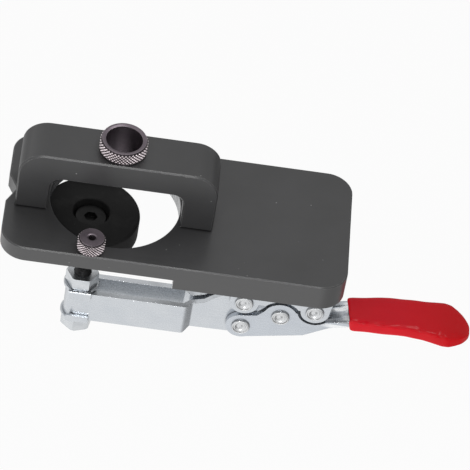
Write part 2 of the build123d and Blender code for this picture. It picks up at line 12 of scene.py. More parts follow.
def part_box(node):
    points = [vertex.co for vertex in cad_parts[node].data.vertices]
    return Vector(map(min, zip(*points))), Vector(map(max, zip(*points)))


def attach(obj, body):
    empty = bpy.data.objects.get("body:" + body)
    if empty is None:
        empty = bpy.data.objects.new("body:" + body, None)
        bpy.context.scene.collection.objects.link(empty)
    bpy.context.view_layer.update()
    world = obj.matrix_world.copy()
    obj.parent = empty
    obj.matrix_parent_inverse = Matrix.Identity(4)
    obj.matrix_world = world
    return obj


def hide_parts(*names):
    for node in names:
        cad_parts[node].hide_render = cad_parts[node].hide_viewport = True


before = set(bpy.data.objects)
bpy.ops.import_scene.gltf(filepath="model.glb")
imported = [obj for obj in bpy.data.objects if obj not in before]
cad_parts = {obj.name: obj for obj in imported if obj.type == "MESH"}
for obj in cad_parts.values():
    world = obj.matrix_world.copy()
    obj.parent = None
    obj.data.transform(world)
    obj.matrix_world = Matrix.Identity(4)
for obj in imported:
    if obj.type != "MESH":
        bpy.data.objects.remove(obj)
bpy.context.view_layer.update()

logging.basicConfig(level=logging.INFO, format="%(message)s")
LOG = logging.getLogger("jig")
MM = 0.001
WELD = 2e-6
FINE_WELD = 1e-6
FLAT_DEG = 0.6
SMOOTH_DEG = 30.0

Colour = tuple[float, float, float]
Range = tuple[float, float]
Socket = bpy.types.NodeSocket
Node = bpy.types.Node
Mesh = bmesh.types.BMesh
Ring = list[bmesh.types.BMVert]
Piece = bpy.types.Object


class Body(Enum):
    """The jig's moving bodies."""

    BASE = "base"
    ARM = "arm"
    LINK = "link"
    LEVER = "lever"
    CARRIAGE = "carriage"
    SPINDLE = "spindle"


class Slot(Enum):
    """The record's material slots that new pieces stand for."""

    ANODISED = "anodised"
    BLACK_STEEL = "black_steel"
    BUSH_STEEL = "bush_steel"
    ZINC_SHEET = "zinc_sheet"
    RIVET_STEEL = "rivet_steel"
    ZINC_NUT = "zinc_nut"
    VINYL = "vinyl"
    PAD_RUBBER = "pad_rubber"


class Sheet:
    """A node sheet, with methods that add and feed its nodes."""

    def __init__(self, tree: bpy.types.NodeTree) -> None:
        """Take over a tree's nodes and links."""
        self.nodes, self.links = tree.nodes, tree.links

    def feed(self, socket: Socket, value: object) -> None:
        """Link a socket into another, or set its constant.

        Args:
            socket: The input socket.
            value: An output socket, a number, a vector or colour, or None to leave the input.
        """
        if isinstance(value, Socket):
            self.links.new(value, socket)
        elif value is not None:
            plain = socket.type == "RGBA" and len(value) == 3
            socket.default_value = (*value, 1.0) if plain else value

    def add(self, kind: str, *values: object, **named: object) -> Node:
        """Add a node.

        Args:
            kind: The node's type without its ShaderNode prefix.
            values: What its inputs take, in order.
            named: Its properties, in lower case, and inputs, capitalised, with underscores for spaces.

        Returns:
            The new node.
        """
        node = self.nodes.new("ShaderNode" + kind)
        for key, value in named.items():
            if key.islower():
                setattr(node, key, value)
            else:
                self.feed(node.inputs[key.replace("_", " ")], value)
        for socket, value in zip(node.inputs, values):
            self.feed(socket, value)
        return node

    def maths(self, operation: str, *values: object, clamp: bool = False) -> Socket:
        """Combine numbers by a Math node's operation, and clamp the result to 0 and 1 if asked."""
        return self.add("Math", *values, operation=operation, use_clamp=clamp).outputs[0]

    def times(self, first: object, second: object) -> Socket:
        """Multiply two numbers."""
        return self.maths("MULTIPLY", first, second)

    def gap(self, value: object, mark: float) -> Socket:
        """Measure how far a number lies from a mark on either side."""
        return self.maths("ABSOLUTE", self.maths("SUBTRACT", value, mark))

    def span(self, value: object, low: float, high: float, out_low: float = 0.0, out_high: float = 1.0) -> Socket:
        """Map the numbers from low to high onto those from out_low to out_high, and clamp them there."""
        return self.add("MapRange", value, low, high, out_low, out_high, clamp=True).outputs[0]


@dataclass
class Finish(Sheet):
    """A material that lays itself out on its own sheet, over the object's coordinates."""

    name: str

    BEVEL_SAMPLES = 4
    CREVICE_SAMPLES = 6
    CREVICE_LEVELS = (0.3, 0.8)
    SPECK_CORE = 0.4

    def __post_init__(self) -> None:
        """Make the material and lay it out."""
        self.material = bpy.data.materials.new(self.name)
        self.material.use_nodes = True
        super().__init__(self.material.node_tree)
        self.surface = self.nodes["Principled BSDF"]
        self.place = self.add("TexCoord").outputs["Object"]
        self.lay()

    def paint(self, **values: object) -> None:
        """Feed the surface's own sockets, named with underscores for spaces."""
        for name, value in values.items():
            self.feed(self.surface.inputs[name.replace("_", " ")], value)

    def mix(self, share: object, first: object, second: object) -> Socket:
        """Mix two colours; the node's five inputs between its share and them serve other types."""
        return self.add("Mix", share, *[None] * 5, first, second, data_type="RGBA").outputs[2]

    def axis(self, letter: str) -> Socket:
        """Read the object's X, Y or Z."""
        return self.add("SeparateXYZ", Vector=self.place).outputs[letter]

    def attribute(self, name: str) -> Socket:
        """Read a number that the mesh carries."""
        return self.add("Attribute", attribute_name=name).outputs["Fac"]

    def distance(self, centre: Colour, across: Colour) -> Socket:
        """Measure how far a point stands from an axis through centre; across is 0 along it, else 1."""
        shifted = self.add("Mapping", Vector=self.place, Location=[-part for part in centre], Scale=across)
        return self.add("VectorMath", shifted.outputs[0], operation="LENGTH").outputs["Value"]

    def noise(self, size: float, detail: float = 2.0, stretch: Colour = (1, 1, 1)) -> Socket:
        """Cloudy noise of a size in metres, drawn out along each axis by its stretch."""
        mapped = self.add("Mapping", Vector=self.place, Scale=[1 / (size * part) for part in stretch])
        return self.add("TexNoise", Vector=mapped.outputs[0], Scale=1.0, Detail=detail).outputs["Fac"]

    def patches(self, size: float, levels: Range, shares: Range = (0.0, 1.0), detail: float = 2.0,
                stretch: Colour = (1, 1, 1)) -> Socket:
        """Cut patches out of the noise: one share below its levels, the other above, soft between."""
        return self.span(self.noise(size, detail, stretch), *levels, *shares)

    def specks(self, spacing: float, reach: float) -> Socket:
        """Scatter round marks, 1 in their middle; reach is their radius as a share of the spacing."""
        cells = self.add("TexVoronoi", Vector=self.place, Scale=1 / spacing, Randomness=1.0)
        return self.span(cells.outputs["Distance"], reach, reach * self.SPECK_CORE)

    def rounded(self, radius: float) -> Socket:
        """Turn the normal as if edges were rounded to a radius in metres."""
        return self.add("Bevel", samples=self.BEVEL_SAMPLES, Radius=radius).outputs[0]

    def edges(self, radius: float, gain: float) -> Socket:
        """Find where the surface turns within a radius in metres: 1 on an edge and 0 on a flat."""
        normals = self.rounded(radius), self.add("NewGeometry").outputs["Normal"]
        alike = self.add("VectorMath", *normals, operation="DOT_PRODUCT").outputs["Value"]
        return self.maths("MULTIPLY", self.maths("SUBTRACT", 1.0, alike), gain, clamp=True)

    def crevice_shade(self, reach: float) -> Socket:
        """Find where other surfaces stand within a reach in metres, as a mask for painted shade: 1 deep in seams.
        """
        near = self.add("AmbientOcclusion", samples=self.CREVICE_SAMPLES, Distance=reach)
        return self.span(near.outputs["AO"], *self.CREVICE_LEVELS, 1.0, 0.0)

    def relief(self, height: Socket, depth: float, strength: float, radius: float = 0.0) -> None:
        """Give the surface a bump of a depth in metres, and edges rounded to a radius."""
        bump = self.add("Bump", Height=height, Distance=depth, Strength=strength)
        self.feed(bump.inputs["Normal"], self.rounded(radius) if radius else None)
        self.paint(Normal=bump.outputs[0])


@dataclass
class AnodisedFinish(Finish):
    """Dark grey hard anodising: fine grain, bright edges that are partly abrasion and partly painted highlight,
    painted light on the steep faces that a mesh marks, painted shade between parts, and a bare reamed cup hole.
    """

    name: str = "dark_anodising"
    tone: Colour = (0.046, 0.046, 0.047)
    light_tone: Colour = (0.057, 0.057, 0.059)
    painted_side_light: Colour = (0.086, 0.086, 0.087)
    worn_and_highlight: Colour = (0.78, 0.78, 0.78)
    seam_shade: Colour = (0.012, 0.012, 0.012)
    bare: Colour = (0.72, 0.73, 0.75)
    gloss: float = 0.55
    roughness: Range = (0.28, 0.37)
    worn_polish: float = 0.1
    bare_polish: float = 0.25
    grain_size: float = 0.35 * MM
    streak_size: float = 0.5 * MM
    streak_run: float = 40.0
    reamed_run: float = 30.0
    rim_radius: float = 0.15 * MM
    nick_spacing: float = 3.8 * MM
    shade_reach: float = 1.0 * MM
    cup_radius: float = 22.25 * MM
    cup_wall_reach: Range = (0.04 * MM, 0.08 * MM)
    cup_wall_top: Range = (5.6 * MM, 5.75 * MM)
    cup_unworn: Range = (0.5 * MM, 0.7 * MM)

    def wear_and_highlight(self, off: Socket) -> Socket:
        """Find the bright edges, partly abraded metal and partly painted highlight: on edges, but hardly on the
        cup hole's, and in a few nicks.

        Args:
            off: The distance from the cup hole's wall.

        Returns:
            1 on the edges and nicks painted bright, partly abrasion and partly painted highlight, and 0
            elsewhere.
        """
        rim = self.maths("MAXIMUM", self.attribute("eased"), self.edges(self.rim_radius, 2.5))
        patchy = self.patches(1.3 * MM, (0.36, 0.6), (0.35, 1.0), 4)
        patchy = self.times(patchy, self.span(off, *self.cup_unworn, 0.1, 1.0))
        nicks = self.times(self.specks(self.nick_spacing, 0.06), self.patches(9 * MM, (0.48, 0.6), (0.0, 0.8)))
        return self.maths("MAXIMUM", self.times(rim, patchy), nicks)

    def lay(self) -> None:
        """Lay out the finish."""
        grain = self.noise(self.grain_size)
        streak = self.noise(self.streak_size, stretch=(self.streak_run, 1, 1))
        off = self.gap(self.distance((0, 0, 0), (1, 1, 0)), self.cup_radius)
        wear_and_highlight = self.wear_and_highlight(off)
        below = self.span(self.axis("Z"), *self.cup_wall_top, 1.0, 0.0)
        wall = self.times(self.span(off, *self.cup_wall_reach, 1.0, 0.0), below)
        reamed = self.patches(self.streak_size, (0.35, 0.65), (0.25, 0.85), stretch=(1, 1, self.reamed_run))
        bare = self.times(wall, reamed)
        colour = self.mix(self.patches(18 * MM, (0.35, 0.65), detail=3), self.tone, self.light_tone)
        colour = self.mix(self.span(grain, 0.3, 0.8, 0.0, 0.25), colour, self.light_tone)
        # painted light: the steep faces that the mesh marks are painted lighter, standing in for the light they
        # catch
        colour = self.mix(self.attribute("side"), colour, self.painted_side_light)
        # painted shade: darker where other surfaces stand close
        colour = self.mix(self.times(self.crevice_shade(self.shade_reach), 0.85), colour, self.seam_shade)
        # painted highlight: edges and nicks painted near white, partly as abraded anodising and partly as the
        # light they catch
        colour = self.mix(wear_and_highlight, colour, self.worn_and_highlight)
        rough = self.span(streak, 0.3, 0.7, *self.roughness)
        rough = self.maths("SUBTRACT", rough, self.times(wear_and_highlight, self.worn_polish))
        rough = self.maths("SUBTRACT", rough, self.times(wall, self.bare_polish))
        self.paint(Base_Color=self.mix(bare, colour, self.bare), Metallic=bare, Roughness=rough)
        self.paint(Specular_IOR_Level=self.gloss)
        self.relief(self.maths("ADD", grain, self.times(streak, 0.5)), 0.01 * MM, 0.3, 0.12 * MM)


@dataclass
class ZincFinish(Finish):
    """Bright zinc plating on pressed steel, with a faint blue cast and handling marks; its draw lines are partly
    painted reflection streaks, and it carries painted shade between parts and painted highlights on edges.
    """

    name: str = "bright_zinc"
    tone: Colour = (0.565, 0.588, 0.615)
    shade: Colour = (0.50, 0.53, 0.565)
    roughness: float = 0.24
    metallic: float = 0.92
    mark_size: float = 7 * MM
    lines_from: float = 1.0
    lines_fade: float = 4 * MM
    dark_line_and_reflection: Colour = (0.27, 0.28, 0.29)
    light_line_and_reflection: Colour = (0.92, 0.93, 0.94)
    seam_shade: Colour = (0.07, 0.075, 0.09)
    shade_reach: float = 1.1 * MM
    pit: Colour = (0.2, 0.22, 0.24)
    pit_spacing: float = 1.9 * MM
    rubbed_and_highlight: Colour = (0.88, 0.9, 0.91)

    def lay(self) -> None:
        """Lay out the finish."""
        drawn = self.noise(0.6 * MM, 3, (9, 9, 1))
        lines = self.noise(2.4 * MM, 1, (18, 1, 1))
        tail = self.span(self.axis("X"), self.lines_from, self.lines_from + self.lines_fade)
        pits = self.times(self.specks(self.pit_spacing, 0.1), self.patches(3 * MM, (0.52, 0.66), (0.0, 0.7)))
        colour = self.mix(self.patches(self.mark_size, (0.38, 0.72), (0.0, 0.5), 4), self.tone, self.shade)
        # draw lines along X from lines_from on, partly real and partly painted reflection streaks, dark and light
        colour = self.mix(self.times(self.span(lines, 0.4, 0.5, 0.6, 0.0), tail), colour, self.dark_line_and_reflection)
        colour = self.mix(self.times(self.span(lines, 0.52, 0.62, 0.0, 0.8), tail), colour, self.light_line_and_reflection)
        # painted shade: darker where other surfaces stand close
        colour = self.mix(self.times(self.crevice_shade(self.shade_reach), 0.8), colour, self.seam_shade)
        colour = self.mix(pits, colour, self.pit)
        # painted highlight: edges painted near white
        colour = self.mix(self.times(self.edges(0.25 * MM, 2.2), 0.6), colour, self.rubbed_and_highlight)
        rough = self.span(drawn, 0.3, 0.7, self.roughness - 0.06, self.roughness + 0.1)
        rough = self.maths("ADD", rough, self.times(pits, 0.2))
        self.paint(Base_Color=colour, Metallic=self.metallic, Roughness=rough)
        fine = self.times(self.noise(0.22 * MM), 0.15)
        self.relief(self.maths("ADD", fine, self.maths("SUBTRACT", drawn, pits)), 0.01 * MM, 0.2, 0.18 * MM)


@dataclass
class RivetFinish(Finish):
    """Spun rivet heads: fine rings, a painted highlight on the rim, soiling mixed with painted shade in the
    groove, and painted shade at the seat and in the seams.
    """

    centre: Range
    tone: Colour = (0.62, 0.63, 0.64)
    grime_and_shade: Colour = (0.10, 0.10, 0.10)
    bright: Colour = (0.92, 0.92, 0.92)
    metallic: float = 0.9
    roughness: Range = (0.24, 0.5)
    rings_per_metre: float = 14000.0
    ring_wobble: float = 0.3 * MM
    groove_radius: float = 2.52 * MM
    groove_width: float = 0.14 * MM
    seat: Range = (3.1 * MM, 3.14 * MM)
    shade_reach: float = 0.8 * MM

    def lay(self) -> None:
        """Lay out the finish."""
        radius = self.distance((self.centre[0], 0.0, self.centre[1]), (1, 0, 1))
        band = self.span(self.gap(radius, self.groove_radius), 0.0, self.groove_width, 1.0, 0.0)
        # groove: patchy soiling that also serves as painted shade in the recess
        dirt_and_shade = self.times(band, self.patches(1.1 * MM, (0.4, 0.6), (0.15, 0.95)))
        # painted shade: a dark ring at the seat, standing in for the shadow round the head
        dirt_and_shade = self.maths("MAXIMUM", dirt_and_shade, self.span(radius, *self.seat, 0.0, 0.5))
        # painted shade: darker where other surfaces stand close
        dirt_and_shade = self.maths("MAXIMUM", dirt_and_shade, self.times(self.crevice_shade(self.shade_reach), 0.8))
        # painted highlight: edges painted near white
        colour = self.mix(self.edges(0.25 * MM, 2.5), self.mix(dirt_and_shade, self.tone, self.grime_and_shade), self.bright)
        rough = self.span(dirt_and_shade, 0.0, 0.9, *self.roughness)
        self.paint(Base_Color=colour, Metallic=self.metallic, Roughness=rough)
        wobbly = self.maths("ADD", radius, self.times(self.noise(2.0 * MM), self.ring_wobble))
        self.relief(self.maths("SINE", self.times(wobbly, self.rings_per_metre)), 0.006 * MM, 0.4)


@dataclass
class GunmetalFinish(Finish):
    """Hardened bush steel: purplish grey, with painted highlights on the knurl's crests and the rims, and painted
    shade in the knurl's valleys.
    """

    name: str = "bush_gunmetal"
    tone: Colour = (0.132, 0.110, 0.127)
    light_tone: Colour = (0.155, 0.13, 0.148)
    crest_highlight: Colour = (0.95, 0.85, 0.88)
    valley_shade: Colour = (0.035, 0.028, 0.032)
    rim_highlight: Colour = (0.55, 0.5, 0.52)
    metallic: float = 0.85
    roughness: Range = (0.3, 0.42)

    def lay(self) -> None:
        """Lay out the finish."""
        crest = self.attribute("crest")
        turned = self.noise(0.25 * MM, stretch=(30, 30, 1))
        colour = self.mix(self.patches(3 * MM, (0.35, 0.7), detail=3), self.tone, self.light_tone)
        # painted shade: the knurl's valleys painted near black
        colour = self.mix(self.span(crest, 0.02, 0.12), colour, self.valley_shade)
        # painted highlight: pale pink on the knurl's crests, in patches
        bright = self.times(self.span(crest, 0.4, 0.75), self.patches(1.6 * MM, (0.3, 0.7), (0.55, 1.0)))
        colour = self.mix(bright, colour, self.crest_highlight)
        # painted highlight: a pale rim on the edges off the knurl
        rim = self.times(self.edges(0.3 * MM, 3), self.span(crest, 0.0, 0.05, 0.7, 0.0))
        colour = self.mix(rim, colour, self.rim_highlight)
        rough = self.span(turned, 0.3, 0.7, *self.roughness)
        self.paint(Base_Color=colour, Metallic=self.metallic, Roughness=rough)
        self.relief(turned, 0.01 * MM, 0.4)


@dataclass
class BlackOxideFinish(Finish):
    """Blackened steel, slightly oily, greyer on its edges, partly from rubbing and partly as painted highlight.
    """

    name: str = "black_oxide"
    tone: Colour = (0.012, 0.012, 0.013)
    rubbed_and_highlight: Colour = (0.09, 0.09, 0.09)
    gloss: float = 0.5
    metallic: float = 0.35
    roughness: Range = (0.34, 0.5)

    def lay(self) -> None:
        """Lay out the finish."""
        cloud = self.noise(1.8 * MM, 4)
        # painted highlight: edges painted greyer, partly as rubbing and partly as the light they catch
        share = self.times(self.edges(0.18 * MM, 2.0), self.span(cloud, 0.4, 0.65, 0.1, 0.8))
        rough = self.span(cloud, 0.35, 0.7, *self.roughness)
        self.paint(Base_Color=self.mix(share, self.tone, self.rubbed_and_highlight), Metallic=self.metallic, Roughness=rough)
        self.paint(Specular_IOR_Level=self.gloss)
        self.relief(self.noise(0.2 * MM), 0.01 * MM, 0.4)


@dataclass
class RubberFinish(Finish):
    """Moulded black rubber with a fine texture and dusty specks."""

    name: str = "pad_rubber"
    tone: Colour = (0.012, 0.012, 0.012)
    dusty: Colour = (0.045, 0.045, 0.044)
    gloss: float = 0.16
    roughness: Range = (0.55, 0.72)
    speck_spacing: float = 6 * MM

    def lay(self) -> None:
        """Lay out the finish."""
        grain = self.noise(0.4 * MM, 3)
        film = self.patches(8 * MM, (0.5, 0.78), (0.0, 0.5), 4)
        dust = self.maths("MAXIMUM", film, self.specks(self.speck_spacing, 0.06))
        rough = self.span(grain, 0.3, 0.7, *self.roughness)
        self.paint(Base_Color=self.mix(dust, self.tone, self.dusty), Metallic=0.0, Roughness=rough)
        self.paint(Specular_IOR_Level=self.gloss)
        self.relief(grain, 0.03 * MM, 0.5, 0.4 * MM)


@dataclass
class VinylFinish(Finish):
    """Dipped red vinyl: gloss over slow ripples, deeper red towards the end."""

    name: str = "dipped_vinyl"
    tone: Colour = (0.92, 0.006, 0.018)
    deep: Colour = (0.80, 0.005, 0.019)
    end_tone: Colour = (0.72, 0.002, 0.006)
    end_fade: Range = (104 * MM, 126 * MM)
    gloss: float = 0.09
    coat: float = 0.14
    coat_roughness: float = 0.04
    roughness: Range = (0.16, 0.24)
    ripple_size: float = 4.5 * MM
    ripple_share: float = 12.0

    def lay(self) -> None:
        """Lay out the finish."""
        fine = self.noise(0.5 * MM)
        colour = self.mix(self.patches(14 * MM, (0.35, 0.7), detail=3, stretch=(2, 1, 1)), self.tone, self.deep)
        colour = self.mix(self.span(self.axis("X"), *self.end_fade), colour, self.end_tone)
        self.paint(Base_Color=colour, Roughness=self.span(fine, 0.3, 0.7, *self.roughness))
        self.paint(Specular_IOR_Level=self.gloss, Coat_Weight=self.coat, Coat_Roughness=self.coat_roughness)
        ripple = self.times(self.noise(self.ripple_size, stretch=(2.2, 1, 1)), self.ripple_share)
        self.relief(self.maths("ADD", ripple, self.times(fine, 0.25)), 0.03 * MM, 0.7)


@dataclass
class FloorFinish(Finish):
    """A pale floor that glows, and that gloss sees darker to the right and behind."""

    name: str = "pale_floor"
    tone: Colour = (0.9, 0.9, 0.9)
    roughness: float = 0.9
    glow: float = 0.95
    gloss: Range = (1.15, 0.35)
    right: Range = (0.12, 0.28)
    back: Range = (0.1, 0.35)
    back_share: float = 0.42

    def lay(self) -> None:
        """Lay out the finish."""
        self.paint(Base_Color=self.tone, Roughness=self.roughness)
        behind = self.span(self.axis("Y"), *self.back, 1.0, self.back_share)
        mirrored = self.times(self.span(self.axis("X"), *self.right, *self.gloss), behind)
        is_gloss = self.add("LightPath").outputs["Is Glossy Ray"]
        level = self.add("Mix", is_gloss, None, 1.0, mirrored, data_type="FLOAT").outputs[0]
        light = self.add("Emission", Color=(1.0, 1.0, 1.0), Strength=level)
        mixed = self.add("MixShader", self.glow, self.surface.outputs[0], light.outputs[0])
        self.feed(self.nodes["Material Output"].inputs[0], mixed.outputs[0])


def show(name: str, data: bpy.types.ID) -> Piece:
    """Put an object into the scene.

    Args:
        name: The object's name.
        data: Its mesh, lamp or camera.

    Returns:
        The object.
    """
    thing = bpy.data.objects.new(name, data)
    bpy.context.scene.collection.objects.link(thing)
    return thing


def show_mesh(bm: Mesh, name: str, finish: Finish) -> Piece:
    """Put a bmesh into the scene.

    Args:
        bm: The finished mesh, freed here.
        name: The object's name.
        finish: Its finish.

    Returns:
        The object.
    """
    mesh = bpy.data.meshes.new(name)
    bm.to_mesh(mesh)
    bm.free()
    mesh.materials.append(finish.material)
    return show(name, mesh)


def place_piece(bm: Mesh, name: str, finish: Finish, body: Body, slot: Slot, node: str,
                sharp_deg: float = SMOOTH_DEG, flat: bool = True) -> Piece:
    """Turn a bmesh into a piece that rides on a body.

    Args:
        bm: The finished mesh, freed here.
        name: The piece's name.
        finish: Its finish.
        body: The body it rides on.
        slot: The material slot it stands for; not used.
        node: The CAD node that it replaces.
        sharp_deg: Edges that turn by more than this stay sharp.
        flat: Whether its large faces keep their own shading beside small rounded ones.

    Returns:
        The piece.
    """
    piece = show_mesh(bm, name, finish)
    piece.data.polygons.foreach_set("use_smooth", [True] * len(piece.data.polygons))
    piece.data.set_sharp_from_angle(angle=math.radians(sharp_deg))
    if flat:
        weighted = piece.modifiers.new("face_weighted", "WEIGHTED_NORMAL")
        weighted.keep_sharp = True
        weighted.weight = 100
    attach(piece, body.value)
    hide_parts(node)
    LOG.info("%s: %d faces on %s", name, len(piece.data.polygons), body.value)
    return piece


def dress_node(name: str, finish: Finish) -> None:
    """Give a CAD node its finish.

    Args:
        name: The node's name.
        finish: Its finish.
    """
    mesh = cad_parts[name].data
    mesh.materials.clear()
    mesh.materials.append(finish.material)
    LOG.info("%s: dressed in %s", name, finish.name)


def points_of(node: str) -> list[Vector]:
    """List the points of a CAD node's mesh."""
    return [vert.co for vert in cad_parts[node].data.vertices]


def everything(bm: Mesh) -> list[object]:
    """List all points, edges and faces of a mesh, for an operator."""
    return bm.verts[:] + bm.edges[:] + bm.faces[:]


def upright(low: Vector, high: Vector) -> Vector:
    """Find a box's upright axis, at height 0."""
    return Vector(((high.x + low.x) / 2, (high.y + low.y) / 2, 0))


def off_axis(point: Vector, axis: Vector) -> float:
    """Measure how far a point stands from an upright axis."""
    return math.hypot(point.x - axis.x, point.y - axis.y)


def lathe(outline: list[Range], steps: int, closed: bool = False) -> Mesh:
    """Spin an outline of radius and height about +Z.

    Args:
        outline: Points of radius and height.
        steps: Segments round the full turn.
        closed: Whether the last point joins the first.

    Returns:
        The turned mesh, merged and facing outward.
    """
    bm = bmesh.new()
    ring = [bm.verts.new((radius, 0, height)) for radius, height in outline]
    pairs = list(zip(ring, ring[1:])) + ([(ring[-1], ring[0])] if closed else [])
    geom = ring + [bm.edges.new(pair) for pair in pairs]
    bmesh.ops.spin(bm, geom=geom, cent=(0, 0, 0), axis=(0, 0, 1), dvec=(0, 0, 0),
                   angle=2 * math.pi, steps=steps, use_merge=True)
    bmesh.ops.remove_doubles(bm, verts=bm.verts, dist=FINE_WELD)
    bmesh.ops.recalc_face_normals(bm, faces=bm.faces)
    return bm


def eased_copy(node: str, width: float, segments: int = 2, angle_deg: float = 40.0) -> Mesh:
    """Copy a CAD node's mesh, join its flat triangles and round its sharp edges.

    Args:
        node: The CAD node's name.
        width: The rounding's width in metres.
        segments: Its segments.
        angle_deg: Edges that turn by more than this are rounded.

    Returns:
        The mesh, whose face attribute "eased" is 1 on the rounding.
    """
    bm = bmesh.new()
    bm.from_mesh(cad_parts[node].data)
    bmesh.ops.remove_doubles(bm, verts=bm.verts, dist=WELD)
    bmesh.ops.dissolve_limit(bm, angle_limit=math.radians(FLAT_DEG), verts=bm.verts, edges=bm.edges)
    layer = bm.faces.layers.float.new("eased")
    sharp = [edge for edge in bm.edges
             if len(edge.link_faces) == 2 and edge.calc_face_angle(0.0) > math.radians(angle_deg)]
    eased = bmesh.ops.bevel(bm, geom=sharp, offset=width, offset_type="OFFSET", segments=segments,
                            profile=0.5, affect="EDGES", clamp_overlap=True, material=-1)
    for face in eased["faces"]:
        face[layer] = 1.0
    return bm


@dataclass
class KnurledBush:
    """A turned bush whose collar carries a diamond knurl."""

    finish: Finish
    node: str
    teeth: int
    bore_radius: float
    bore_mouth: float
    knurl_depth: float
    rim: float = 0.4 * MM
    land: float = 0.08 * MM
    mouth_bulge: Range = (0.25, 0.35)
    collar_ease: float = 1.2
    facets: int = 8
    fade: float = 0.3 * MM
    fade_lead: float = 0.05 * MM
    crest_gain: float = 1.5
    neutral_height: float = 0.85
    lowest_mark: float = 0.06
    sharp_deg: float = 35.0

    def knurl(self, bm: Mesh, collar: float, band: Range) -> None:
        """Raise diamonds on the collar's side and mark their crests.

        Args:
            bm: The turned bush about the Z axis.
            collar: The collar's radius.
            band: The knurl's lowest and highest Z.
        """
        crest = bm.verts.layers.float.new("crest")
        pitch = 2 * math.pi * collar / self.teeth
        for vert in bm.verts:
            if math.hypot(vert.co.x, vert.co.y) < collar * 0.999:
                continue
            turn = math.atan2(vert.co.y, vert.co.x) * self.teeth / (2 * math.pi)
            climb = (vert.co.z - band[0]) / pitch
            ridges = [abs(((turn + sign * climb) % 1.0) - 0.5) * 2 for sign in (-1, 1)]
            inside = min(vert.co.z - band[0], band[1] - vert.co.z) + self.fade_lead
            height = min(1.0, self.crest_gain * min(ridges)) * max(0.0, min(1.0, inside / self.fade))
            vert[crest] = self.lowest_mark + (1 - self.lowest_mark) * height
            vert.co.xy *= 1 + self.knurl_depth * (height - self.neutral_height) / collar

    def build(self) -> None:
        """Turn the bush in its CAD node's place, from the bore round the collar to the spigot."""
        low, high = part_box(self.node)
        collar = (high.x - low.x) / 2
        axis = upright(low, high)
        points = points_of(self.node)
        seat = min(point.z for point in points if off_axis(point, axis) > collar * 0.98)
        spigot = max(off_axis(point, axis) for point in points if point.z < seat - 0.2 * MM)
        rows = round((high.z - seat - 2 * self.rim) / (2 * math.pi * collar / self.teeth) * self.facets)
        band = seat + self.rim, high.z - self.rim
        bore, mouth = self.bore_radius, self.bore_radius + self.bore_mouth
        out, down = (share * self.bore_mouth for share in self.mouth_bulge)
        shoulder = collar - self.rim * self.collar_ease
        bm = lathe([
            (bore, low.z), (bore, high.z - self.bore_mouth), (bore + out, high.z - down), (mouth, high.z),
            (mouth + self.land, high.z), (shoulder - self.land, high.z), (shoulder, high.z),
            *[(collar, band[1] + (band[0] - band[1]) * row / rows) for row in range(rows + 1)],
            (collar - self.rim, seat), (spigot, seat), (spigot, low.z),
        ], self.teeth * self.facets, closed=True)
        self.knurl(bm, collar, band)
        bmesh.ops.translate(bm, verts=bm.verts, vec=axis)
        name = self.node + "_knurled"
        place_piece(bm, name, self.finish, Body.BASE, Slot.BUSH_STEEL, self.node, self.sharp_deg)


@dataclass
class PlateAndBridge:
    """The anodised plate and bridge with their screws."""

    anodised: Finish
    black: Finish
    chamfer: float = 0.24 * MM
    chamfer_over_deg: float = 50.0
    steep: float = 0.3
    painted_light_shares: tuple[tuple[str, float], ...] = (("base_plate", 1.0), ("bridge", 0.0))
    screws: tuple[str, ...] = ("bridge_screws", "bracket_screws")

    def mark_painted_light(self, bm: Mesh, share: float) -> None:
        """Mark the steep faces, for the lighter tone painted on them as painted light.

        Args:
            bm: The milled part.
            share: How much of the lighter tone they show.
        """
        layer = bm.faces.layers.float.new("side")
        bm.normal_update()
        for face in bm.faces:
            face[layer] = share if abs(face.normal.z) < self.steep else 0.0

    def build(self) -> None:
        """Break the milled parts' edges, and dress the screws."""
        for node, share in self.painted_light_shares:
            bm = eased_copy(node, self.chamfer, 1, self.chamfer_over_deg)
            self.mark_painted_light(bm, share)
            place_piece(bm, node + "_chamfered", self.anodised, Body.BASE, Slot.ANODISED, node)
        for node in self.screws:
            dress_node(node, self.black)


